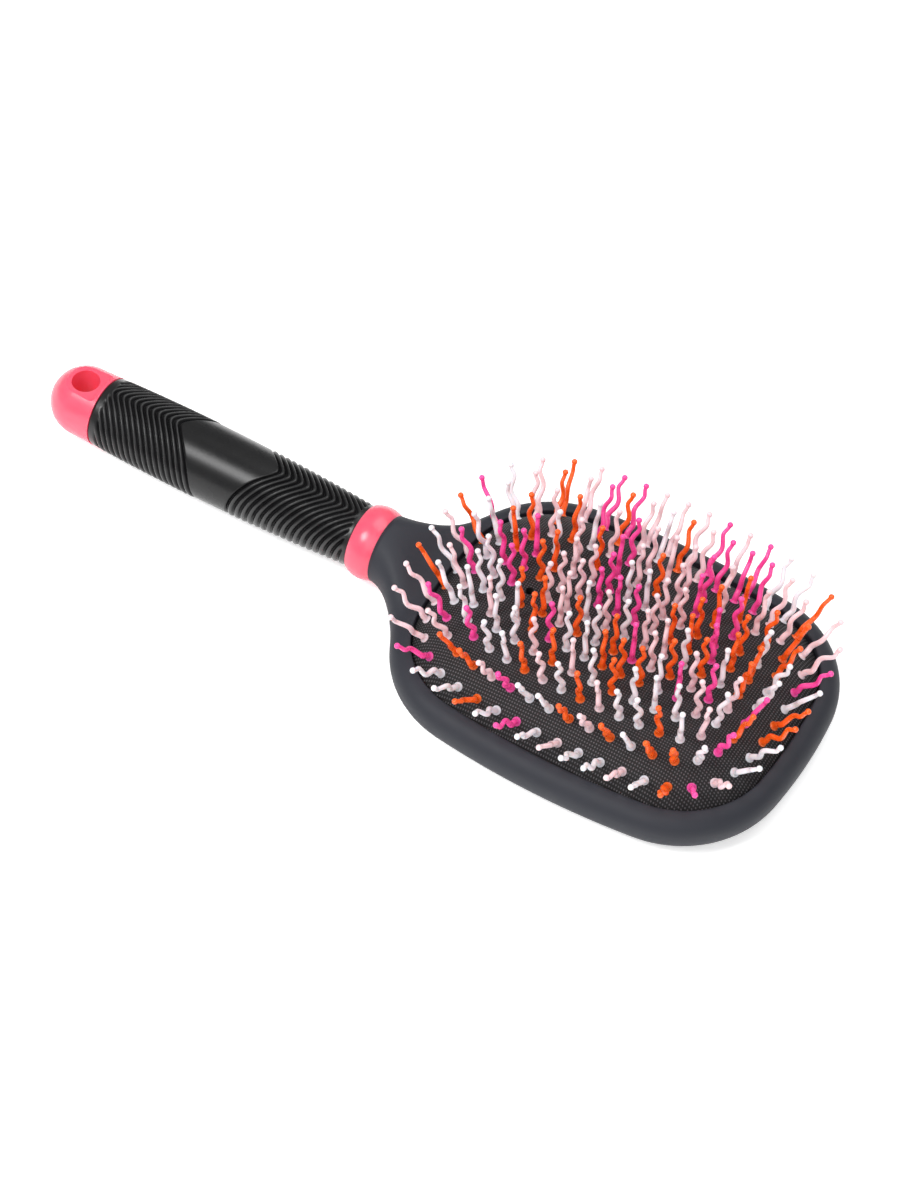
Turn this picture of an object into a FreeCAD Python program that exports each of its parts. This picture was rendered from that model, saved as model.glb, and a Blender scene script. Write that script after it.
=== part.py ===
"""Detangling brush: cushion paddle head, wavy pins, ribbed grip handle.

Millimetres. +X runs from the hanging end of the handle to the paddle tip, +Z is the way the
pins stand. The brush lies on its back: z = 0 is the surface under the paddle and the grip,
and x = 0 is half way along the brush.
"""
import math
import os

import FreeCAD
import Part

Vector = FreeCAD.Vector

# Handle, from the hanging end
cap_length = 18.0
cap_radius = 10.5
cap_joint_radius = 10.7
grip_length = 88.0
grip_cap_end_radius = 10.7
grip_belly_radius = 11.4
grip_collar_end_radius = 9.4
grip_belly_share = 0.4
collar_length = 7.8
collar_edge_radius = 10.1
collar_crown_radius = 11.1

# Hanging hole through the end cap, in a land sunk into the cap's top and bottom
hanging_hole_radius = 4.2
hanging_hole_from_grip = 7.2
land_height = 8.9
land_half_length = 5.0
land_shoulder = 0.7

# Core of the handle, moulded in one with the paddle
tang_radius = 7.0
tang_half_height = 5.4
tang_clearance = 0.1
spigot_radius = 3.6
spigot_length = 9.0
spigot_clearance = 0.1

# Neck between the collar and the head
neck_radius = 10.2
neck_length = 25.0
neck_place_shares = (0.0, 0.2, 0.4, 0.6, 1.0)
neck_width_shares = (1.0, 1.17, 1.52, 2.02, 2.9)
neck_top_shares = (1.0, 0.86, 0.53, 0.17, -0.1)
neck_bottom_shares = (1.0, 0.7, 0.5, 0.5, 0.8)

# Opening of the head that shows the cushion
neck_to_pad_centre = 74.6
opening_half_length = 54.8
opening_half_width = 41.2
opening_corner_radius = 26.8
opening_side_radius = 247.0
opening_end_radius = 144.0
end_inset_share = 0.95
tight_corner_share = 0.18

# Rim and back of the head
rim_height = 14.0
rim_width = 6.2
rim_round = 5.2
back_round = 8.2

# Recess under the cushion
floor_thickness = 3.0
floor_inset = 13.0
ledge_width = 3.2
ledge_height = 8.4
groove_depth = 1.6

# Cushion pad
pad_clearance = 0.3
pad_wall = 1.8
flange_thickness = 1.5
flange_seat_gap = 0.1
dome_rise = 9.3
dome_edge_drop = 2.6
dome_power = 4.7
dome_foot_share = 0.4
vent_radius = 1.2

# Pins
pin_length = 17.0
pin_root_radius = 0.86
pin_neck_radius = 0.56
pin_ball_radius = 0.85
pin_wave_height = 0.8
pin_wave_count = 1.5
pin_wave_sections = 15
pin_still_share = 0.24
slope_probe_share = 0.001
foot_radius = 1.35
foot_height = 1.0
foot_waist_share = 0.3
foot_gap = 0.4
shank_radius = 0.75
shank_clearance = 0.25
head_radius = 1.4
head_thickness = 0.8
head_gap = 0.5
turn_per_pin_deg = 137.5

# Pin field: rings that follow the opening, and a straight row along the middle
pin_field_shift = -1.0
first_ring_inset = 4.9
ring_step = 6.05
row_pitch = 6.1
side_lean_share = 1.2
end_lean_share = 0.8

# Colours round each ring, starting at the handle end and going along the side at -Y.
# W white, R pale rose, H hot pink, O orange, and v the vent hole in place of a pin.
ring_colours = (
    "WORRRHWWOWHWRWWRWOHRWWOOWHRROWWHRHRRRHHRORWHOR",
    "HRWHROORHWWOROWOOWHOHWWOORRHHHROWROHRORWWW",
    "WWWWHWWORWORWWOWRWROOWORORHRRRHRWOROOH",
    "HWRWWRORWOWWWRHWOOHOHRORHORWHH",
    "vOWOHWWOOOWHROHHORRWWHRROO",
    "ROROWOHROWOORHHHRR",
)
row_colours = "RWRWRR"
colour_names = {"W": "white", "R": "rose", "H": "pink", "O": "orange"}
vent_mark = "v"

# One overrun serves all cuts
overrun = 1.0

# Places along the brush
overall_length = (
    cap_length + grip_length + collar_length + neck_to_pad_centre
    + opening_half_length + rim_width * end_inset_share
)
cap_end_x = -overall_length / 2
cap_joint_x = cap_end_x + cap_length
grip_end_x = cap_joint_x + grip_length
neck_x = grip_end_x + collar_length
pad_centre_x = neck_x + neck_to_pad_centre
axis_z = grip_belly_radius


def solid_of(shape):
    """The one solid in a shape, with coplanar faces merged."""
    clean = shape.removeSplitter()
    return clean.Solids[0]


def arc(start, through, end):
    return Part.Arc(start, through, end).toShape()


class Oval:
    """Rounded outline of eight tangent arcs at an inset from the opening's edge.

    A negative inset is outside the opening. The two sides, the two ends and the four corners
    are arcs about centres that stay where they are while the inset changes the radii.
    """

    def __init__(self, inset, centre_x=pad_centre_x):
        self.centre_x = centre_x
        self.half_length = opening_half_length - inset * end_inset_share
        self.half_width = opening_half_width - inset
        self.side_radius = opening_side_radius - inset
        self.end_radius = opening_end_radius - inset
        self.corner_radius = max(opening_corner_radius - inset, tight_corner_share * self.half_width)
        side_centre = Vector(0, self.half_width - self.side_radius, 0)
        end_centre = Vector(self.half_length - self.end_radius, 0, 0)
        self.corner_centre = self.meet(side_centre, end_centre)
        self.side_touch = self.touch(side_centre, self.side_radius)
        self.end_touch = self.touch(end_centre, self.end_radius)
        middle = (self.side_touch + self.end_touch) * 0.5 - self.corner_centre
        self.corner_middle = self.corner_centre + middle.normalize() * self.corner_radius
        half_turn = math.asin(self.end_touch.y / self.end_radius) / 2
        self.end_quarter = end_centre + Vector(math.cos(half_turn), math.sin(half_turn), 0) * self.end_radius

    def meet(self, side_centre, end_centre):
        """Corner centre: inside the side arc and the end arc by the corner radius."""
        side_reach = self.side_radius - self.corner_radius
        end_reach = self.end_radius - self.corner_radius
        line = end_centre - side_centre
        gap = line.Length
        along = (side_reach ** 2 - end_reach ** 2 + gap ** 2) / (2 * gap)
        across = math.sqrt(side_reach ** 2 - along ** 2)
        line.normalize()
        return side_centre + line * along + Vector(line.y, -line.x, 0) * across

    def touch(self, centre, radius):
        ray = self.corner_centre - centre
        return centre + ray.normalize() * radius

    def place(self, point, x_sign, y_sign, z):
        return Vector(self.centre_x + x_sign * point.x, y_sign * point.y, z)

    def wire(self, z):
        """Closed wire from the handle end, along the side at -Y, and back along +Y."""
        tip = Vector(self.half_length, 0, 0)
        flank = Vector(0, self.half_width, 0)
        side, corner = self.side_touch, self.corner_middle
        end, quarter = self.end_touch, self.end_quarter
        stops = (
            (tip, -1, 1), (quarter, -1, -1), (end, -1, -1), (corner, -1, -1), (side, -1, -1),
            (flank, 1, -1), (side, 1, -1), (corner, 1, -1), (end, 1, -1), (tip, 1, 1),
            (end, 1, 1), (corner, 1, 1), (side, 1, 1), (flank, 1, 1), (side, -1, 1),
            (corner, -1, 1), (end, -1, 1), (quarter, -1, 1), (tip, -1, 1),
        )
        points = [self.place(point, x_sign, y_sign, z) for point, x_sign, y_sign in stops]
        edges = [arc(*points[i:i + 3]) for i in range(0, len(points) - 1, 2)]
        return Part.Wire(edges)


def oval_plate(inset, bottom, top):
    face = Part.Face(Oval(inset).wire(bottom))
    return face.extrude(Vector(0, 0, top - bottom))


def rounded_plate(inset, height, bottom_round, top_round):
    """Oval plate standing on z = 0 with rounded bottom and top edges."""
    plate = oval_plate(inset, 0, height)
    bottom_edges = [edge for edge in plate.Edges if edge.BoundBox.ZMax < bottom_round]
    rounded = plate.makeFillet(bottom_round, bottom_edges)
    top_edges = [edge for edge in rounded.Edges if edge.BoundBox.ZMin > height - top_round]
    return rounded.makeFillet(top_round, top_edges)


def oval_loft(levels):
    """Smooth solid through ovals, each given as an inset, a height and a shift along X."""
    wires = [Oval(inset, pad_centre_x + shift).wire(z) for inset, z, shift in levels]
    return Part.makeLoft(wires, True, False)


def turned(wire_edges):
    """Solid of revolution about the handle's axis, from a closed profile in the XZ plane."""
    face = Part.Face(Part.Wire(wire_edges))
    return face.revolve(Vector(0, 0, axis_z), Vector(1, 0, 0), 360)


def at(x, radius):
    """Point on the handle's profile."""
    return Vector(x, 0, axis_z + radius)


def tang_bar(start_x, end_x, gap):
    """Core section: a round bar with a flat top and bottom, grown by a gap."""
    length = end_x - start_x
    round_bar = Part.makeCylinder(tang_radius + gap, length, Vector(start_x, 0, axis_z), Vector(1, 0, 0))
    half_height = tang_half_height + gap
    width = 2 * (tang_radius + gap)
    corner = Vector(start_x, -width / 2, axis_z - half_height)
    return round_bar.common(Part.makeBox(length, width, 2 * half_height, corner))


def dome_height(inset):
    """Height of the cushion's top at an inset: steep at the edge, flat in the middle."""
    crown = rim_height + dome_rise
    fall = dome_rise + dome_edge_drop
    return crown - fall * (1 - inset / opening_half_width) ** dome_power


def dome_slope(inset):
    fall = dome_rise + dome_edge_drop
    steep = dome_power * fall / opening_half_width
    return steep * (1 - inset / opening_half_width) ** (dome_power - 1)


def ring_inset(index):
    return first_ring_inset + ring_step * index


def neck_section(x, half_width, top, bottom):
    """Round section across the neck, stretched to a half width and between two heights."""
    circle = Part.makeCircle(neck_radius, Vector(0, 0, 0), Vector(1, 0, 0))
    stretch = FreeCAD.Matrix()
    stretch.scale(1, half_width / neck_radius, (top - bottom) / (2 * neck_radius))
    stretch.move(x, 0, (top + bottom) / 2)
    return Part.Wire(circle.transformGeometry(stretch))


def make_paddle_body():
    """Head with its rim and recess, neck and core of the handle, as one moulding."""
    head = rounded_plate(-rim_width, rim_height, back_round, rim_round)
    neck_rise = axis_z + neck_radius - rim_height
    neck_floor = axis_z - neck_radius
    sections = []
    for place, width, top_share, bottom_share in zip(
            neck_place_shares, neck_width_shares, neck_top_shares, neck_bottom_shares):
        x = neck_x + neck_length * place
        top = rim_height + neck_rise * top_share
        bottom = neck_floor * bottom_share
        sections.append(neck_section(x, neck_radius * width, top, bottom))
    neck = Part.makeLoft(sections, True, False)
    core = tang_bar(cap_joint_x, neck_x + neck_length * neck_place_shares[2], 0)
    body = head.fuse([neck, core])

    groove_top = ledge_height + flange_thickness + 2 * flange_seat_gap
    upper = oval_plate(0, ledge_height, rim_height + neck_rise + overrun)
    groove = oval_plate(-groove_depth, ledge_height, groove_top)
    lower = oval_loft([(floor_inset, floor_thickness, 0), (ledge_width, ledge_height, 0)])
    socket = Part.makeCylinder(
        spigot_radius + spigot_clearance, spigot_length + spigot_clearance + overrun,
        Vector(cap_joint_x - overrun, 0, axis_z), Vector(1, 0, 0))
    return solid_of(body.cut([upper, groove, lower, socket]))


def make_collar_ring():
    """Barrel-crowned ring round the core, between the grip and the neck."""
    middle_x = (grip_end_x + neck_x) / 2
    outside = arc(at(grip_end_x, collar_edge_radius), at(middle_x, collar_crown_radius),
                  at(neck_x, collar_edge_radius))
    rest = Part.makePolygon([
        at(neck_x, collar_edge_radius), at(neck_x, 0), at(grip_end_x, 0), at(grip_end_x, collar_edge_radius)])
    ring = turned([outside] + rest.Edges)
    return solid_of(ring.cut(tang_bar(grip_end_x - overrun, neck_x + overrun, tang_clearance)))


def make_grip_sleeve():
    """Soft barrel sleeve over the core."""
    belly_x = cap_joint_x + grip_length * grip_belly_share
    outside = arc(at(cap_joint_x, grip_cap_end_radius), at(belly_x, grip_belly_radius),
                  at(grip_end_x, grip_collar_end_radius))
    rest = Part.makePolygon([
        at(grip_end_x, grip_collar_end_radius), at(grip_end_x, 0), at(cap_joint_x, 0),
        at(cap_joint_x, grip_cap_end_radius)])
    sleeve = turned([outside] + rest.Edges)
    return solid_of(sleeve.cut(tang_bar(cap_joint_x - overrun, grip_end_x + overrun, tang_clearance)))


def make_end_cap():
    """Domed cap with a plug into the core and a hanging hole in a sunken land."""
    dome_x = cap_end_x + cap_radius
    slant = cap_radius / math.sqrt(2)
    dome = arc(at(dome_x, cap_radius), at(dome_x - slant, slant), at(cap_end_x, 0))
    rest = Part.makePolygon([
        at(cap_end_x, 0), at(cap_joint_x, 0), at(cap_joint_x, cap_joint_radius), at(dome_x, cap_radius)])
    cap = turned([dome] + rest.Edges)
    spigot = Part.makeCylinder(spigot_radius, spigot_length + overrun,
                               Vector(cap_joint_x - overrun, 0, axis_z), Vector(1, 0, 0))

    hole_x = cap_joint_x - hanging_hole_from_grip
    depth = cap_joint_radius - land_height
    near_x = hole_x + land_half_length
    far_x = hole_x - land_half_length
    shoulder_x = cap_joint_x - land_shoulder
    run = shoulder_x - near_x
    side = cap_radius + overrun
    cuts = []
    for sign in (1, -1):
        low = axis_z + sign * land_height
        high = axis_z + sign * cap_joint_radius
        outer = axis_z + sign * (cap_joint_radius + overrun)
        ramp_middle = Vector((near_x + shoulder_x) / 2 + run / 4, -side, low + sign * depth / 4)
        back_middle = Vector((far_x + far_x - run) / 2 - run / 4, -side, low + sign * depth / 4)
        edges = [
            arc(Vector(near_x, -side, low), ramp_middle, Vector(shoulder_x, -side, high)),
            Part.makeLine(Vector(shoulder_x, -side, high), Vector(shoulder_x, -side, outer)),
            Part.makeLine(Vector(shoulder_x, -side, outer), Vector(far_x - run, -side, outer)),
            Part.makeLine(Vector(far_x - run, -side, outer), Vector(far_x - run, -side, high)),
            arc(Vector(far_x - run, -side, high), back_middle, Vector(far_x, -side, low)),
            Part.makeLine(Vector(far_x, -side, low), Vector(near_x, -side, low)),
        ]
        cuts.append(Part.Face(Part.Wire(edges)).extrude(Vector(0, 2 * side, 0)))
    cuts.append(Part.makeCylinder(hanging_hole_radius, 2 * side, Vector(hole_x, 0, axis_z - side)))
    return solid_of(cap.fuse(spigot).cut(cuts))


def pin_places():
    """Every pin as ring number, colour mark, foot point on the dome and unit lean."""
    places = []
    for index, marks in enumerate(ring_colours):
        inset = ring_inset(index)
        z = min(dome_height(inset), dome_height(ring_inset(len(ring_colours) - 2)))
        outline = Oval(inset, pad_centre_x + pin_field_shift).wire(z)
        points = outline.discretize(Number=len(marks) + 1)[:-1]
        slope = dome_slope(inset)
        for i, mark in enumerate(marks):
            along = points[(i + 1) % len(points)] - points[i - 1]
            outward = Vector(along.y, -along.x, 0).normalize()
            lean = Vector(outward.x * slope * end_lean_share, outward.y * slope * side_lean_share, 1)
            places.append((index + 1, mark, points[i], lean.normalize()))
    top = dome_height(ring_inset(len(ring_colours) - 2))
    middle = (len(row_colours) - 1) / 2
    for i, mark in enumerate(row_colours):
        foot = Vector(pad_centre_x + pin_field_shift + row_pitch * (i - middle), 0, top)
        places.append((len(ring_colours) + 1, mark, foot, Vector(0, 0, 1)))
    return places


def dome_levels(drop):
    """Insets and heights of the dome's sections, moved in along the normal by a drop."""
    places = [(pad_clearance, 0), (first_ring_inset * dome_foot_share, pin_field_shift * dome_foot_share)]
    places += [(ring_inset(i), pin_field_shift) for i in range(len(ring_colours) - 1)]
    levels = []
    for inset, shift in places:
        lean = math.atan(dome_slope(inset))
        levels.append((inset + drop * math.sin(lean), dome_height(inset) - drop * math.cos(lean), shift))
    return levels


def make_cushion_pad(places):
    """Air-cushion membrane: domed wall, flange for the groove, a hole per pin and a vent."""
    flange_bottom = ledge_height + flange_seat_gap
    flange_top = flange_bottom + flange_thickness
    outer_levels = dome_levels(0)
    inner_levels = dome_levels(pad_wall)
    flange = oval_plate(pad_clearance - groove_depth, flange_bottom, flange_top)
    wall = oval_plate(pad_clearance, flange_bottom, outer_levels[0][1])
    pad = flange.fuse([wall, oval_loft(outer_levels)])
    cavity = oval_plate(inner_levels[0][0], flange_bottom - overrun, inner_levels[0][1])
    drills = [cavity, oval_loft(inner_levels)]
    reach = pad_wall + overrun
    for _, mark, foot, lean in places:
        radius = vent_radius if mark == vent_mark else shank_radius + shank_clearance
        drills.append(Part.makeCylinder(radius, 2 * reach, foot - lean * reach, lean))
    return solid_of(pad.cut(drills))


def wave_offset(share):
    """Sideways wave of the shaft at a share of its length, dying out towards both ends."""
    calm = max(0, min(1, share / pin_still_share, (1 - share) / pin_still_share))
    calm = calm * calm * (3 - 2 * calm)
    return pin_wave_height * calm * math.sin(2 * math.pi * pin_wave_count * share)


def make_pin():
    """One pin standing on +Z at the origin: head, shank, flared foot, wavy shaft and ball."""
    head_top = -(pad_wall + head_gap)
    head_bottom = head_top - head_thickness
    foot_top = foot_gap + foot_height
    rest = Part.makePolygon([
        Vector(pin_root_radius, 0, foot_top), Vector(0, 0, foot_top), Vector(0, 0, head_bottom),
        Vector(head_radius, 0, head_bottom), Vector(head_radius, 0, head_top), Vector(shank_radius, 0, head_top),
        Vector(shank_radius, 0, foot_gap), Vector(foot_radius, 0, foot_gap)])
    waist = pin_root_radius + (foot_radius - pin_root_radius) * foot_waist_share
    flare = arc(Vector(foot_radius, 0, foot_gap), Vector(waist, 0, foot_gap + foot_height * foot_waist_share),
                Vector(pin_root_radius, 0, foot_top))
    profile = Part.Wire([flare] + rest.Edges)
    base = Part.Face(profile).revolve(Vector(0, 0, 0), Vector(0, 0, 1), 360)

    ball_z = pin_length - pin_ball_radius
    rise = ball_z - foot_top
    rings = []
    for i in range(pin_wave_sections):
        share = i / (pin_wave_sections - 1)
        along = Vector(0, 0, 1)
        if 0 < share < 1:
            climb = wave_offset(share + slope_probe_share) - wave_offset(share - slope_probe_share)
            along = Vector(climb, 0, 2 * slope_probe_share * rise)
        radius = pin_root_radius + (pin_neck_radius - pin_root_radius) * share
        offset = wave_offset(share) if 0 < share < 1 else 0
        rings.append(Part.Wire(Part.makeCircle(radius, Vector(offset, 0, foot_top + rise * share), along)))
    shaft = Part.makeLoft(rings, True, False)
    ball = Part.makeSphere(pin_ball_radius, Vector(0, 0, ball_z))
    return solid_of(base.fuse([shaft, ball]))


def make_pins(places):
    """Pins grouped by ring and colour, each pin a solid of its own."""
    pin = make_pin()
    groups = {}
    for number, (ring, mark, foot, lean) in enumerate(places):
        if mark == vent_mark:
            continue
        turn = FreeCAD.Rotation(Vector(0, 0, 1), turn_per_pin_deg * number)
        tilt = FreeCAD.Rotation(Vector(0, 0, 1), lean)
        stood = pin.copy()
        stood.Placement = FreeCAD.Placement(foot, tilt.multiply(turn))
        groups.setdefault(f"{colour_names[mark]}_pins_ring_{ring}", []).append(stood)
    return {name: Part.makeCompound(pins) for name, pins in groups.items()}


def main():
    places = pin_places()
    nodes = {
        "paddle_body": make_paddle_body(),
        "collar_ring": make_collar_ring(),
        "grip_sleeve": make_grip_sleeve(),
        "end_cap": make_end_cap(),
        "cushion_pad": make_cushion_pad(places),
    }
    nodes.update(make_pins(places))
    os.makedirs("parts", exist_ok=True)
    for name, shape in nodes.items():
        box = shape.BoundBox
        print(f"{name}: {len(shape.Solids)} solid(s), {shape.Volume:.1f} mm3, valid {shape.isValid()},"
              f" x {box.XMin:.1f}..{box.XMax:.1f} y {box.YMin:.1f}..{box.YMax:.1f} z {box.ZMin:.2f}..{box.ZMax:.1f}")
        shape.exportStep(f"parts/{name}.step")


if __name__ == "__main__":
    main()
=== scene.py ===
"""Looks of a detangling brush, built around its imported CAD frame.

Shapes are worked out in millimetres in the frame's axes: +X from the hanging end of the handle to
the paddle tip, +Z the way the pins stand. They go into the meshes in metres.
"""
import math

import bmesh
import bpy
import numpy as np
from mathutils import Matrix, Vector


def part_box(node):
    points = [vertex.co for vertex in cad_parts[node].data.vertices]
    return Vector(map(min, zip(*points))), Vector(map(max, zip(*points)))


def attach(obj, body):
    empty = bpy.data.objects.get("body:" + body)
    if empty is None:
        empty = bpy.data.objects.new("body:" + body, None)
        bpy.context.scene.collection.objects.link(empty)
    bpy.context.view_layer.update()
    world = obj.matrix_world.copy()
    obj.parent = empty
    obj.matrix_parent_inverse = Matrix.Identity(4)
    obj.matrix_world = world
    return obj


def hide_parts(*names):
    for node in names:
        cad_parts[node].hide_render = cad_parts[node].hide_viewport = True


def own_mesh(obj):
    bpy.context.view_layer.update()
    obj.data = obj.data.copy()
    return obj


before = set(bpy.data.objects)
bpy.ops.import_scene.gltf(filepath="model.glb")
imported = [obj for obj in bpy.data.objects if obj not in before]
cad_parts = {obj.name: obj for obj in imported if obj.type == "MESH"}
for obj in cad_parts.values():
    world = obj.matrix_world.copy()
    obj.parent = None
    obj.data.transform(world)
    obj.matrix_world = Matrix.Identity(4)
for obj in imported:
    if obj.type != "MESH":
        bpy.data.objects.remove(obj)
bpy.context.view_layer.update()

MM = 0.001


def node_box(name):
    """Lowest and highest corner of a CAD node, in millimetres."""
    low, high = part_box(name)
    return np.array(low) / MM, np.array(high) / MM


# Places along the handle, from the CAD nodes
collar_low, collar_high = node_box("collar_ring")
grip_low, grip_high = node_box("grip_sleeve")
NECK_X = collar_high[0]
GRIP_END_X = grip_high[0]
CAP_JOINT_X = grip_low[0]
AXIS_Z = (grip_low[2] + grip_high[2]) / 2

# Head and its opening
PAD_CENTRE_X = NECK_X + 74.6
OPENING_HALF_LENGTH = 54.8
OPENING_HALF_WIDTH = 41.2
CORNER_RADIUS = 26.8
SIDE_RADIUS = 247.0
END_RADIUS = 144.0
END_INSET_SHARE = 0.95
TIGHT_CORNER_SHARE = 0.18

# Rim, back and neck
RIM_Z = 14.0
RIM_WIDTH = 6.2
RIM_ROUND = 5.2
BACK_ROUND = 8.2
LIP_ROUND = 0.6
LEDGE_Z = 8.4
LEDGE_WIDTH = 3.2
FLOOR_Z = 3.0
FLOOR_INSET = 13.0
NECK_RADIUS = 10.2
NECK_REACH = 19.0
FLARE_JOIN_Y = 27.0
FLARE_HANDLES = (8.0, 8.0)
FLARE_START_SLOPE = 0.15
SPINE_SHARE = 0.62
BACK_ROUND_SPAN = 1.15
BACK_REACH_SHARE = 0.97
MIDDLE_FROM_NECK = (25.0, 42.0)
MIDDLE_FROM_TIP = 34.0

# Cushion pad
PAD_GAP = 0.3
PAD_FOOT_Z = 9.0
PAD_LIFT = 0.35
DOME_RISE = 9.3
DOME_FALL = 11.9
DOME_POWER = 4.7
FIELD_SHIFT = -1.0
FIRST_RING_INSET = 4.9
VENT_X = PAD_CENTRE_X + FIELD_SHIFT - 27.2
VENT_RADIUS = 1.2
DRILL_LENGTH = 8.0
PAD_TOP_INSETS = (5.6, 36.0)

# Grip
GRIP_RADII = (10.7, 11.4, 9.4)
GRIP_BELLY_SHARE = 0.4
RIB_DEPTH = 1.1
LAND_DROP = 0.22
LEFT_PITCH = 2.05
RIGHT_PITCH = 2.15
LEFT_SWEEP = (10.6, math.radians(58))
RIGHT_SWEEP = (12.6, math.radians(65))
LAND_LEFT_X = NECK_X - 69.9
LAND_RIGHT_X = NECK_X - 36.1
CAP_BAND = 2.0
COLLAR_BAND = 1.3
CAP_BAND_FADE = 1.2
COLLAR_BAND_FADE = 0.9
BAND_DEPTH = 0.12
LAND_BORDER_WIDTH = 0.4
SWEEP_ROUNDING = 0.012
GRIP_EDGE_DROP = 0.35
GRIP_EDGE_WIDTH = 0.45

# Mesh steps
ARC_STEPS = (10, 22, 26)
SPINE_STEPS = 14
TOP_ROWS = 20
BACK_ROUND_ROWS = 16
BACK_FLAT_ROWS = 6
LIP_STEPS = 6
PAD_EDGE_LEVELS = 10
PAD_TOP_LEVELS = 40
VENT_SIDES = 32
GRIP_TURNS = 181
GRIP_ROWS = 441

# Points nearer than the first, in metres, are merged, and edges shorter than the second dissolved
WELD_GAP = 2e-6
SLIVER_LENGTH = 1e-7

# Keeps the division by a path piece's squared length safe
LEAST_SQUARE = 1e-12


def smooth_step(values):
    """Rises from 0 to 1 along 3t^2 - 2t^3."""
    t = np.clip(values, 0, 1)
    return t * t * (3 - 2 * t)


def mesh_piece(name, body, material, grids):
    """One object from grids of points in millimetres, each of rows by columns.

    Neighbouring grid points make quads. Points that coincide are merged, which closes seams and poles.
    """
    quads = []
    start = 0
    for grid in grids:
        rows, columns = grid.shape[:2]
        index = start + np.arange(rows * columns).reshape(rows, columns)
        corners = (index[:-1, :-1], index[:-1, 1:], index[1:, 1:], index[1:, :-1])
        quads.append(np.stack(corners, axis=-1).reshape(-1, 4))
        start += rows * columns
    points = np.concatenate([grid.reshape(-1, 3) for grid in grids]) * MM
    mesh = bpy.data.meshes.new(name)
    mesh.from_pydata(points.tolist(), [], np.concatenate(quads).tolist())
    weld = bmesh.new()
    weld.from_mesh(mesh)
    bmesh.ops.remove_doubles(weld, verts=weld.verts, dist=WELD_GAP)
    bmesh.ops.dissolve_degenerate(weld, edges=weld.edges, dist=SLIVER_LENGTH)
    bmesh.ops.recalc_face_normals(weld, faces=weld.faces)
    weld.to_mesh(mesh)
    weld.free()
    mesh.polygons.foreach_set("use_smooth", np.ones(len(mesh.polygons), bool))
    mesh.materials.append(material)
    piece = bpy.data.objects.new(name, mesh)
    bpy.context.scene.collection.objects.link(piece)
    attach(piece, body)
    return piece


def oval(inset):
    """Closed loop of eight tangent arcs at an inset from the opening, as points (count, 2).

    Side arcs are centred on the Y axis, end arcs on the X axis, and each corner arc touches both
    from inside. The loop starts at the handle end and runs along -Y first.
    """
    half_length = OPENING_HALF_LENGTH - inset * END_INSET_SHARE
    half_width = OPENING_HALF_WIDTH - inset
    side_radius = SIDE_RADIUS - inset
    end_radius = END_RADIUS - inset
    corner_radius = max(CORNER_RADIUS - inset, TIGHT_CORNER_SHARE * half_width)
    side_centre = np.array([0, half_width - side_radius])
    end_centre = np.array([half_length - end_radius, 0])
    line = end_centre - side_centre
    gap = np.hypot(*line)
    line = line / gap
    side_reach = side_radius - corner_radius
    end_reach = end_radius - corner_radius
    along = (side_reach ** 2 - end_reach ** 2 + gap ** 2) / (2 * gap)
    across = math.sqrt(side_reach ** 2 - along ** 2)
    corner_centre = side_centre + line * along + np.array([line[1], -line[0]]) * across
    end_turn = math.atan2(*(corner_centre - end_centre)[::-1])
    side_turn = math.atan2(*(corner_centre - side_centre)[::-1])
    arcs = (
        (end_centre, end_radius, 0, end_turn),
        (corner_centre, corner_radius, end_turn, side_turn),
        (side_centre, side_radius, side_turn, math.pi / 2),
    )
    parts = []
    for (centre, radius, first, last), steps in zip(arcs, ARC_STEPS):
        turn = np.linspace(first, last, steps, endpoint=False)
        parts.append(centre + radius * np.stack([np.cos(turn), np.sin(turn)], axis=1))
    parts.append(np.array([[0, half_width]]))
    quarter = np.concatenate(parts)
    near_front = -quarter
    far_front = (quarter * [1, -1])[::-1]
    near_back = (quarter * [-1, 1])[::-1]
    loop = np.concatenate([near_front[:-1], far_front[:-1], quarter[:-1], near_back[:-1]])
    return loop + [PAD_CENTRE_X, 0]


def closed(loop):
    """A loop with its first point again at the end."""
    return np.concatenate([loop, loop[:1]])


def with_height(plan, z):
    """Plan points with a height, as points (..., 3)."""
    return np.concatenate([plan, np.broadcast_to(z, plan.shape[:-1])[..., None]], axis=-1)


def distance_to_path(points, path):
    """Least distance from each point to the straight pieces of a path."""
    flat = points.reshape(-1, 1, 2)
    start = path[:-1]
    step = path[1:] - start
    length = np.maximum((step ** 2).sum(axis=1), LEAST_SQUARE)
    share = np.clip(((flat - start) * step).sum(axis=2) / length, 0, 1)
    gap = flat - start - share[..., None] * step
    return np.sqrt((gap ** 2).sum(axis=2)).min(axis=1).reshape(points.shape[:-1])


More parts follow.
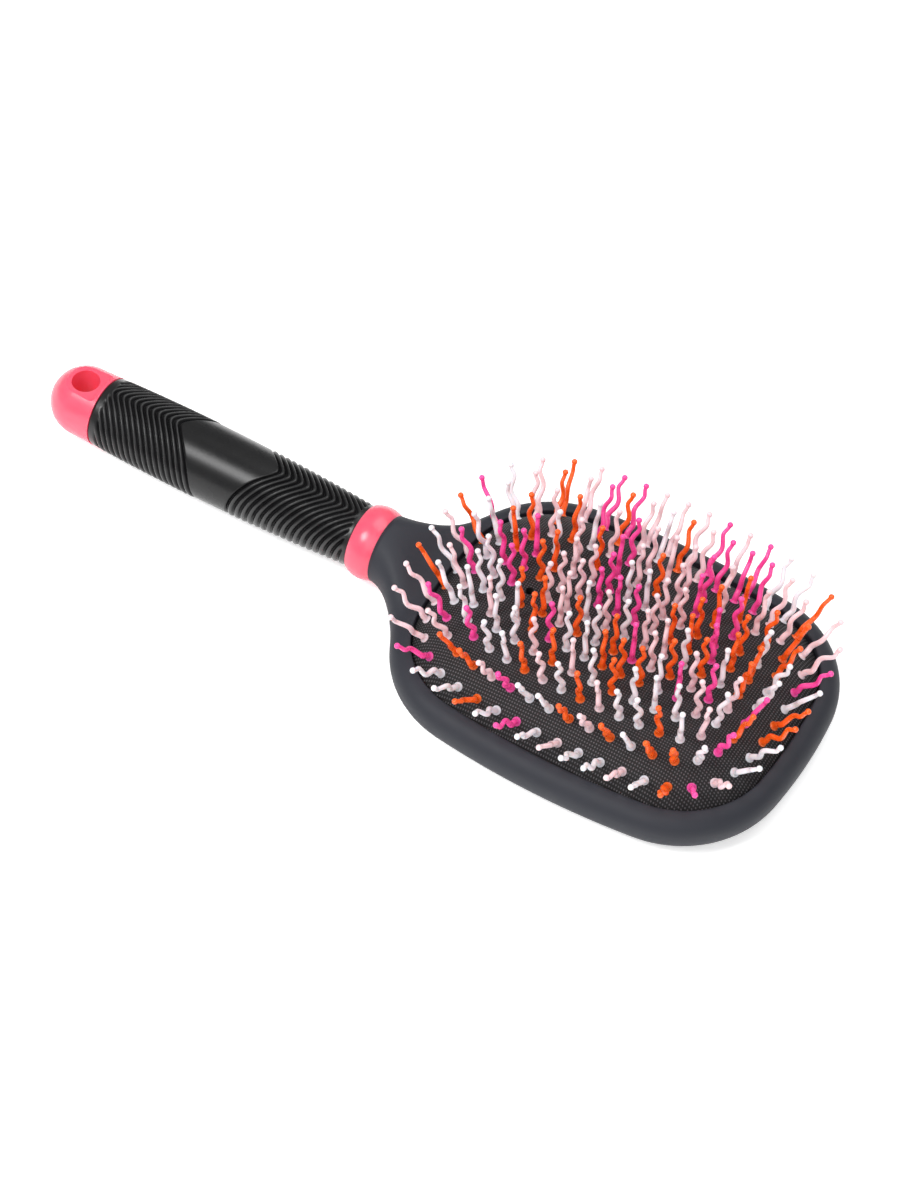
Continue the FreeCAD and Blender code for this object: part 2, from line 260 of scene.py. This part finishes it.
def paddle_outline():
    """Outline from the neck's front, round the head, to the neck's back, and the lip it faces.

    The neck's flare is a cubic curve that leaves the collar almost straight and meets the head's
    oval along its tangent. Facing points run along the middle line, then along the lip.
    """
    outer = oval(-RIM_WIDTH)
    lip = oval(-LIP_ROUND)
    join = int(np.argmax(outer[:, 1] < -FLARE_JOIN_Y))
    tangent = outer[join + 1] - outer[join - 1]
    tangent = tangent / np.hypot(*tangent)
    start = np.array([NECK_X, -NECK_RADIUS])
    leave = np.array([1, -FLARE_START_SLOPE]) * FLARE_HANDLES[0]
    arrive = tangent * FLARE_HANDLES[1]
    first = np.linspace(0, SPINE_SHARE, SPINE_STEPS, endpoint=False)
    second = np.linspace(SPINE_SHARE, 1, join, endpoint=False)
    t = np.concatenate([first, second])[:, None]
    flare = (
        (1 - t) ** 3 * start + 3 * (1 - t) ** 2 * t * (start + leave)
        + 3 * (1 - t) * t ** 2 * (outer[join] - arrive) + t ** 3 * outer[join]
    )
    spine_x = np.linspace(NECK_X, lip[0, 0], SPINE_STEPS, endpoint=False)
    spine = np.stack([spine_x, np.zeros(SPINE_STEPS)], axis=1)
    outline_front = np.concatenate([flare, outer[join:len(outer) // 2 + 1]])
    facing_front = np.concatenate([spine, lip[:len(lip) // 2 + 1]])
    mirror = np.array([1, -1])
    outline = np.concatenate([outline_front, outline_front[-2::-1] * mirror])
    facing = np.concatenate([facing_front, facing_front[-2::-1] * mirror])
    return outline, facing


def head_share(plan):
    """0 at the collar, 1 on the head: a smooth step of the distance from the neck's end."""
    beside = np.maximum(np.abs(plan[..., 1]) - NECK_RADIUS, 0)
    return smooth_step(np.hypot(plan[..., 0] - NECK_X, beside) / NECK_REACH)


def mix(start, end, share):
    """The value at a share of the way from start to end."""
    return start + (end - start) * share


def top_height(plan, edge_distance):
    """Round the edge by a circle arc whose radius shrinks from the neck's to the rim's."""
    share = head_share(plan)
    crest = mix(AXIS_Z + NECK_RADIUS, RIM_Z, share)
    radius = mix(NECK_RADIUS, RIM_ROUND, share)
    inside = np.maximum(radius - edge_distance, 0)
    return crest - radius + np.sqrt(np.maximum(radius ** 2 - inside ** 2, 0))


def back_height(plan, edge_distance):
    """The same arc turned over, from the neck's round to the flat back's."""
    share = head_share(plan)
    lowest = mix(AXIS_Z - NECK_RADIUS, 0, share)
    radius = mix(NECK_RADIUS, BACK_ROUND, share)
    inside = np.maximum(radius - edge_distance, 0)
    return lowest + radius - np.sqrt(np.maximum(radius ** 2 - inside ** 2, 0))


def capped(grid):
    """A grid with its first and last columns closed onto the handle's axis at the collar."""
    centre = np.broadcast_to(np.array([NECK_X, 0, AXIS_Z]), (grid.shape[0], 1, 3))
    return np.concatenate([centre, grid, centre], axis=1)


def paddle_grids():
    """Top from the outline to the lip, back from the outline to the middle line, and the recess."""
    outline, facing = paddle_outline()

    rows = 1 - np.cos(np.linspace(0, math.pi / 2, TOP_ROWS))
    plan = outline + (facing - outline) * rows[:, None, None]
    top = with_height(plan, top_height(plan, distance_to_path(plan, outline)))

    tip_x = outline[:, 0].max()
    outline_places = [NECK_X, NECK_X + MIDDLE_FROM_NECK[0], tip_x]
    middle_places = [NECK_X, NECK_X + MIDDLE_FROM_NECK[1], tip_x - MIDDLE_FROM_TIP]
    middle_x = np.interp(outline[:, 0], outline_places, middle_places)
    middle = np.stack([middle_x, np.zeros(len(outline))], axis=1)
    reach = np.hypot(*(middle - outline).T)
    rounded = np.minimum(BACK_ROUND * BACK_ROUND_SPAN, reach * BACK_REACH_SHARE) / reach
    near = rounded * (1 - np.cos(np.linspace(0, math.pi / 2, BACK_ROUND_ROWS)))[:, None]
    far = mix(rounded, 1, np.linspace(0, 1, BACK_FLAT_ROWS)[1:, None])
    plan = outline + (middle - outline) * np.concatenate([near, far])[..., None]
    back = with_height(plan, back_height(plan, distance_to_path(plan, outline)))
    back = np.concatenate([top[:1], back])

    lip_plan = oval(-LIP_ROUND)
    lip_z = top_height(lip_plan, distance_to_path(lip_plan, outline))
    levels = []
    for turn in np.linspace(0, math.pi / 2, LIP_STEPS):
        drop = LIP_ROUND * (1 - math.cos(turn))
        levels.append(with_height(oval(LIP_ROUND * (math.sin(turn) - 1)), lip_z - drop))
    levels.append(with_height(oval(0), LEDGE_Z))
    levels.append(with_height(oval(LEDGE_WIDTH), LEDGE_Z))
    floor = oval(FLOOR_INSET)
    levels.append(with_height(floor, FLOOR_Z))
    levels.append(with_height(floor * [1, 0], FLOOR_Z))
    recess = np.stack([closed(level) for level in levels])
    return [capped(top), capped(back), recess]


def dome_height(inset):
    """Crown less a power of the distance to the middle: steep at the edge, flat on top."""
    return RIM_Z + DOME_RISE - DOME_FALL * (1 - inset / OPENING_HALF_WIDTH) ** DOME_POWER + PAD_LIFT


def pad_grids():
    """Dome through ovals from its edge to the middle line, on a flat underside."""
    edge_insets = np.linspace(PAD_GAP, FIRST_RING_INSET, PAD_EDGE_LEVELS)
    insets = np.concatenate([edge_insets, np.linspace(*PAD_TOP_INSETS, PAD_TOP_LEVELS)])
    levels = [with_height(oval(PAD_GAP) * [1, 0], PAD_FOOT_Z), with_height(oval(PAD_GAP), PAD_FOOT_Z)]
    for inset in insets:
        shift = FIELD_SHIFT * min(inset / FIRST_RING_INSET, 1)
        levels.append(with_height(oval(inset) + [shift, 0], dome_height(inset)))
    levels.append(levels[-1] * [1, 0, 1])
    return [np.stack([closed(level) for level in levels])]


def cut_vent(pad):
    """Drills the round vent hole down into the pad."""
    drill_mesh = bpy.data.meshes.new("vent_drill")
    shape = bmesh.new()
    bmesh.ops.create_cone(
        shape, cap_ends=True, segments=VENT_SIDES, radius1=VENT_RADIUS * MM, radius2=VENT_RADIUS * MM,
        depth=DRILL_LENGTH * MM, matrix=Matrix.Translation(Vector((VENT_X, 0, RIM_Z + DOME_RISE)) * MM))
    shape.to_mesh(drill_mesh)
    shape.free()
    drill = bpy.data.objects.new("vent_drill", drill_mesh)
    bpy.context.scene.collection.objects.link(drill)
    cut = pad.modifiers.new("vent", "BOOLEAN")
    cut.operation = "DIFFERENCE"
    cut.solver = "EXACT"
    cut.object = drill
    bpy.context.view_layer.update()
    ready = bpy.data.meshes.new_from_object(pad.evaluated_get(bpy.context.evaluated_depsgraph_get()))
    pad.modifiers.clear()
    pad.data = ready
    bpy.data.objects.remove(drill)


def barrel_radius(x):
    """Radius of the grip: the circle arc through its two ends and its belly."""
    belly_x = mix(CAP_JOINT_X, GRIP_END_X, GRIP_BELLY_SHARE)
    places = np.array([CAP_JOINT_X, belly_x, GRIP_END_X])
    radii = np.array(GRIP_RADII)
    squares = places ** 2 + radii ** 2
    rows = np.stack([places[1:] - places[:-1], radii[1:] - radii[:-1]], axis=1)
    centre = np.linalg.solve(rows, (squares[1:] - squares[:-1]) / 2)
    arc_radius = np.hypot(places[0] - centre[0], radii[0] - centre[1])
    return centre[1] + np.sqrt(arc_radius ** 2 - (x - centre[0]) ** 2)


def sweep(turn, reach_and_turn):
    """How far a rib has swept along the handle at an angle from the top: reach times tanh."""
    reach, scale = reach_and_turn
    rounded = np.sqrt(turn ** 2 + SWEEP_ROUNDING) - math.sqrt(SWEEP_ROUNDING)
    return reach * np.tanh(rounded / scale)


def ridge(phase):
    """Rounded ridge with a narrow groove at whole numbers."""
    return np.abs(np.sin(math.pi * phase))


def grip_grids():
    """Barrel with chevron ribs that sweep away from a bare land on the top.

    Each rib keeps its distance along the handle from the land's border, and its depth follows a
    rounded ridge of that distance over the pitch.
    """
    turn = np.linspace(-math.pi, math.pi, GRIP_TURNS)
    along = np.linspace(CAP_JOINT_X, GRIP_END_X, GRIP_ROWS)[:, None]
    left_border = LAND_LEFT_X + sweep(turn, LEFT_SWEEP)
    right_border = LAND_RIGHT_X - sweep(turn, RIGHT_SWEEP)
    knots = np.array([CAP_JOINT_X, LAND_LEFT_X, LAND_RIGHT_X, GRIP_END_X])
    left_lean = np.interp(along, knots, [0, 1, 0, 0])
    right_lean = np.interp(along, knots, [0, 0, 1, 0])
    x = along + left_lean * (left_border - LAND_LEFT_X) + right_lean * (right_border - LAND_RIGHT_X)

    left = x - left_border
    right = x - right_border
    left_depth = RIB_DEPTH * (1 - ridge(left / LEFT_PITCH))
    right_depth = RIB_DEPTH * (1 - ridge(right / RIGHT_PITCH))
    border = np.minimum(left, -right) / LAND_BORDER_WIDTH
    land_depth = LAND_DROP + (RIB_DEPTH - LAND_DROP) * np.exp(-border ** 2)
    depth = np.where(left < 0, left_depth, np.where(right > 0, right_depth, land_depth))
    cap_side = smooth_step((x - CAP_JOINT_X - CAP_BAND) / CAP_BAND_FADE)
    collar_side = smooth_step((GRIP_END_X - COLLAR_BAND - x) / COLLAR_BAND_FADE)
    depth = mix(BAND_DEPTH, depth, cap_side * collar_side)
    edge = np.minimum(x - CAP_JOINT_X, GRIP_END_X - x)
    depth = depth + GRIP_EDGE_DROP * (1 - smooth_step(edge / GRIP_EDGE_WIDTH))
    radius = barrel_radius(x) - depth
    grid = np.stack([x, radius * np.sin(turn), AXIS_Z + radius * np.cos(turn)], axis=-1)
    axis = np.array([1, 0, 0])
    first = grid[:1] * axis + [0, 0, AXIS_Z]
    last = grid[-1:] * axis + [0, 0, AXIS_Z]
    return [np.concatenate([first, grid, last])]


def keep_groove_depth(grip_piece):
    """Keeps each point's depth under the barrel, as a share of the rib depth, on the mesh."""
    count = len(grip_piece.data.vertices)
    places = np.empty(count * 3)
    grip_piece.data.vertices.foreach_get("co", places)
    places = places.reshape(count, 3) / MM
    depth = barrel_radius(places[:, 0]) - np.hypot(places[:, 1], places[:, 2] - AXIS_Z)
    layer = grip_piece.data.attributes.new("groove_depth", "FLOAT", "POINT")
    layer.data.foreach_set("value", np.clip(depth / RIB_DEPTH, 0, 1).astype(np.float32))


# Materials

# Noise values where the mottle counts as lowest and highest
MOTTLE_RANGE = (0.3, 0.7)

# A colour mix node's sockets
MIX_FIRST = 6
MIX_SECOND = 7
MIX_RESULT = 2


def add_node(tree, kind, values=None, **settings):
    """A node with its settings and unlinked input values."""
    made = tree.nodes.new(kind)
    for name, value in settings.items():
        setattr(made, name, value)
    for name, value in (values or {}).items():
        made.inputs[name].default_value = value
    return made


def moulded_grain_group():
    """Fine grain as a height, and a slow mottle from 0 to 1, both of Object coordinates."""
    tree = bpy.data.node_groups.new("moulded_grain", "ShaderNodeTree")
    tree.interface.new_socket("Grain Scale", in_out="INPUT", socket_type="NodeSocketFloat")
    tree.interface.new_socket("Mottle Scale", in_out="INPUT", socket_type="NodeSocketFloat")
    tree.interface.new_socket("Height", in_out="OUTPUT", socket_type="NodeSocketFloat")
    tree.interface.new_socket("Mottle", in_out="OUTPUT", socket_type="NodeSocketFloat")
    inputs = tree.nodes.new("NodeGroupInput")
    outputs = tree.nodes.new("NodeGroupOutput")
    place = add_node(tree, "ShaderNodeTexCoord")
    grain = add_node(tree, "ShaderNodeTexNoise", {"Detail": 3.0, "Roughness": 0.6})
    mottle = add_node(tree, "ShaderNodeTexNoise", {"Detail": 4.0, "Roughness": 0.55})
    tree.links.new(place.outputs["Object"], grain.inputs["Vector"])
    tree.links.new(place.outputs["Object"], mottle.inputs["Vector"])
    tree.links.new(inputs.outputs["Grain Scale"], grain.inputs["Scale"])
    tree.links.new(inputs.outputs["Mottle Scale"], mottle.inputs["Scale"])
    tree.links.new(grain.outputs["Fac"], outputs.inputs["Height"])
    tree.links.new(mottle.outputs["Fac"], outputs.inputs["Mottle"])
    return tree


moulded_grain = moulded_grain_group()


def moulded(name, deep, pale, rough, grain_scale, grain_depth, mottle_scale, shader_values):
    """Moulded plastic or rubber: two close colours by mottle, roughness by mottle, grain as bump."""
    material = bpy.data.materials.new(name)
    material.use_nodes = True
    tree = material.node_tree
    shader = tree.nodes["Principled BSDF"]
    for socket, value in shader_values.items():
        shader.inputs[socket].default_value = value
    grain = add_node(tree, "ShaderNodeGroup", node_tree=moulded_grain)
    grain.inputs["Grain Scale"].default_value = grain_scale
    grain.inputs["Mottle Scale"].default_value = mottle_scale
    colour = add_node(tree, "ShaderNodeMix", data_type="RGBA")
    colour.inputs[MIX_FIRST].default_value = (*deep, 1)
    colour.inputs[MIX_SECOND].default_value = (*pale, 1)
    mottle_to_rough = {
        "From Min": MOTTLE_RANGE[0], "From Max": MOTTLE_RANGE[1], "To Min": rough[0], "To Max": rough[1]}
    spread = add_node(tree, "ShaderNodeMapRange", mottle_to_rough)
    bump = add_node(tree, "ShaderNodeBump", {"Strength": 1.0, "Distance": grain_depth})
    tree.links.new(grain.outputs["Mottle"], colour.inputs["Factor"])
    tree.links.new(colour.outputs[MIX_RESULT], shader.inputs["Base Color"])
    tree.links.new(grain.outputs["Mottle"], spread.inputs["Value"])
    tree.links.new(spread.outputs["Result"], shader.inputs["Roughness"])
    tree.links.new(grain.outputs["Height"], bump.inputs["Height"])
    tree.links.new(bump.outputs["Normal"], shader.inputs["Normal"])
    return material


def shine_ribs(material):
    """Shines the rib tops and leaves the grooves dull, by the depth kept on the mesh."""
    tree = material.node_tree
    depth = add_node(tree, "ShaderNodeAttribute", attribute_name="groove_depth")
    depth_to_shine = {"From Min": 0.05, "From Max": 0.47, "To Min": 0.9, "To Max": 0.0}
    shine = add_node(tree, "ShaderNodeMapRange", depth_to_shine)
    tree.links.new(depth.outputs["Fac"], shine.inputs["Value"])
    tree.links.new(shine.outputs["Result"], tree.nodes["Principled BSDF"].inputs["Coat Weight"])


def woven_pad_material():
    """Black rubber under a fine square weave: pale dots where the threads cross."""
    material = bpy.data.materials.new("woven_pad")
    material.use_nodes = True
    tree = material.node_tree
    shader = tree.nodes["Principled BSDF"]
    shader.inputs["Specular IOR Level"].default_value = 0.35
    place = add_node(tree, "ShaderNodeTexCoord")
    dot_lattice = {"Scale": 1250.0, "Randomness": 0.0}
    dots = add_node(tree, "ShaderNodeTexVoronoi", dot_lattice, voronoi_dimensions="2D")
    dot_edge = {"From Min": 0.37, "From Max": 0.13}
    mask = add_node(tree, "ShaderNodeMapRange", dot_edge, interpolation_type="SMOOTHSTEP")
    colour = add_node(tree, "ShaderNodeMix", data_type="RGBA")
    colour.inputs[MIX_FIRST].default_value = (0.010, 0.0092, 0.0098, 1)
    colour.inputs[MIX_SECOND].default_value = (0.09, 0.085, 0.091, 1)
    rough = add_node(tree, "ShaderNodeMapRange", {"To Min": 0.75, "To Max": 0.5})
    bump = add_node(tree, "ShaderNodeBump", {"Strength": 1.0, "Distance": 0.00012})
    tree.links.new(place.outputs["Object"], dots.inputs["Vector"])
    tree.links.new(dots.outputs["Distance"], mask.inputs["Value"])
    tree.links.new(mask.outputs["Result"], colour.inputs["Factor"])
    tree.links.new(colour.outputs[MIX_RESULT], shader.inputs["Base Color"])
    tree.links.new(mask.outputs["Result"], rough.inputs["Value"])
    tree.links.new(rough.outputs["Result"], shader.inputs["Roughness"])
    tree.links.new(mask.outputs["Result"], bump.inputs["Height"])
    tree.links.new(bump.outputs["Normal"], shader.inputs["Normal"])
    return material


soft_touch = moulded(
    "soft_touch_shell", deep=(0.021, 0.0225, 0.030), pale=(0.028, 0.030, 0.039), rough=(0.54, 0.64),
    grain_scale=5200.0, grain_depth=0.00002, mottle_scale=160.0, shader_values={"Specular IOR Level": 0.32})
coral = moulded(
    "coral_trim", deep=(0.91, 0.085, 0.15), pale=(0.95, 0.115, 0.185), rough=(0.2, 0.27),
    grain_scale=2600.0, grain_depth=0.000008, mottle_scale=220.0,
    shader_values={"Specular IOR Level": 0.5, "Subsurface Weight": 0.4, "Subsurface Scale": 0.005,
                   "Subsurface Radius": (1.0, 0.12, 0.2)})
grip_rubber = moulded(
    "grip_rubber", deep=(0.005, 0.005, 0.0055), pale=(0.009, 0.009, 0.0095), rough=(0.24, 0.32),
    grain_scale=4200.0, grain_depth=0.00003, mottle_scale=240.0,
    shader_values={"Specular IOR Level": 0.08, "Coat Roughness": 0.31})
shine_ribs(grip_rubber)
woven_pad = woven_pad_material()
pin_shine = {"Subsurface Weight": 0.5, "Subsurface Scale": 0.002, "Subsurface Radius": (1.0, 0.7, 0.6)}
pin_colours = {
    "white": ((0.78, 0.75, 0.80), (0.86, 0.83, 0.87)),
    "rose": ((0.88, 0.60, 0.64), (0.92, 0.70, 0.73)),
    "pink": ((0.98, 0.06, 0.32), (1.0, 0.09, 0.39)),
    "orange": ((0.93, 0.092, 0.006), (0.99, 0.145, 0.012)),
}
pin_materials = {
    colour: moulded(
        colour + "_pin", deep, pale, rough=(0.22, 0.32), grain_scale=3000.0, grain_depth=0.000006,
        mottle_scale=400.0, shader_values=pin_shine)
    for colour, (deep, pale) in pin_colours.items()
}


def dress(node, material):
    """Gives a CAD node a material."""
    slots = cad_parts[node].data.materials
    slots.clear()
    slots.append(material)


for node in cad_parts:
    colour_name = node.split("_")[0]
    if colour_name in pin_materials and "_pins_" in node:
        dress(node, pin_materials[colour_name])
dress("collar_ring", coral)
dress("end_cap", coral)

paddle = mesh_piece("paddle_shell", "brush", soft_touch, paddle_grids())
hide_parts("paddle_body")

pad = mesh_piece("cushion_face", "brush", woven_pad, pad_grids())
cut_vent(pad)
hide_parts("cushion_pad")
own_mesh(pad)

grip = mesh_piece("ribbed_grip", "brush", grip_rubber, grip_grids())
keep_groove_depth(grip)
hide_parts("grip_sleeve")


# Camera at the photograph's viewing angle, and the stage

CAMERA_AZIMUTH = math.radians(28.74)
CAMERA_ELEVATION = math.radians(51.75)
CAMERA_ROLL = math.radians(2.99)
CAMERA_DISTANCE = 997.3
CAMERA_TARGET = np.array([NECK_X + 20.82, 1.08, AXIS_Z - 10.53])
CAMERA_LENS = 105.0
SENSOR_WIDTH = 36.0
FLOOR_REACH = 3.0
FLOOR_GREY = 0.92
FLOOR_GLOW = 0.45
WORLD_LIGHT = 0.35
WORLD_SEEN = 1.0


def make_camera():
    """Long lens on a point near the neck, turned a little about its own axis."""
    flat = math.cos(CAMERA_ELEVATION)
    back = np.array([
        math.sin(CAMERA_AZIMUTH) * flat, -math.cos(CAMERA_AZIMUTH) * flat, math.sin(CAMERA_ELEVATION)])
    level = np.array([math.cos(CAMERA_AZIMUTH), math.sin(CAMERA_AZIMUTH), 0])
    upright = np.cross(back, level)
    right = level * math.cos(CAMERA_ROLL) + upright * math.sin(CAMERA_ROLL)
    up = upright * math.cos(CAMERA_ROLL) - level * math.sin(CAMERA_ROLL)
    data = bpy.data.cameras.new("camera")
    data.lens = CAMERA_LENS
    data.sensor_width = SENSOR_WIDTH
    camera = bpy.data.objects.new("camera", data)
    turn = Matrix((right, up, back)).transposed().to_4x4()
    place = Matrix.Translation(Vector((CAMERA_TARGET + back * CAMERA_DISTANCE) * MM))
    camera.matrix_world = place @ turn
    bpy.context.scene.collection.objects.link(camera)
    bpy.context.scene.camera = camera


def make_floor():
    """Pale floor that shows white to the camera and keeps the brush's shadow."""
    mesh = bpy.data.meshes.new("floor")
    corners = [(x * FLOOR_REACH, y * FLOOR_REACH, 0) for x, y in ((-1, -1), (1, -1), (1, 1), (-1, 1))]
    mesh.from_pydata(corners, [], [(0, 1, 2, 3)])
    material = bpy.data.materials.new("floor")
    material.use_nodes = True
    shader = material.node_tree.nodes["Principled BSDF"]
    shader.inputs["Base Color"].default_value = (FLOOR_GREY, FLOOR_GREY, FLOOR_GREY, 1)
    shader.inputs["Roughness"].default_value = 0.9
    shader.inputs["Specular IOR Level"].default_value = 0.1
    shader.inputs["Emission Color"].default_value = (1, 1, 1, 1)
    shader.inputs["Emission Strength"].default_value = FLOOR_GLOW
    mesh.materials.append(material)
    floor = bpy.data.objects.new("floor", mesh)
    bpy.context.scene.collection.objects.link(floor)


def make_lamp(name, place, aim, size, power):
    """Square soft lamp at a place, in metres, turned to an aim."""
    data = bpy.data.lights.new(name, "AREA")
    data.shape = "SQUARE"
    data.size = size
    data.energy = power
    lamp = bpy.data.objects.new(name, data)
    lamp.location = place
    lamp.rotation_euler = (Vector(aim) - Vector(place)).to_track_quat("-Z", "Y").to_euler()
    bpy.context.scene.collection.objects.link(lamp)


def make_world():
    """Pale surroundings, white to the camera."""
    world = bpy.data.worlds.new("studio")
    world.use_nodes = True
    tree = world.node_tree
    background = tree.nodes["Background"]
    path = add_node(tree, "ShaderNodeLightPath")
    strength = add_node(tree, "ShaderNodeMapRange", {"To Min": WORLD_LIGHT, "To Max": WORLD_SEEN})
    background.inputs["Color"].default_value = (1, 1, 1, 1)
    tree.links.new(path.outputs["Is Camera Ray"], strength.inputs["Value"])
    tree.links.new(strength.outputs["Result"], background.inputs["Strength"])
    bpy.context.scene.world = world


make_camera()
make_floor()
make_world()
make_lamp("key", place=(-0.35, -0.55, 0.9), aim=(0.02, 0, 0), size=0.42, power=7.5)
make_lamp("top", place=(0.15, 0.45, 1.0), aim=(0.02, 0, 0), size=0.8, power=5.5)
make_lamp("front", place=(0.4, -0.8, 0.9), aim=(0.04, 0, 0), size=0.9, power=4.8)
bpy.context.scene.view_settings.view_transform = "Standard"
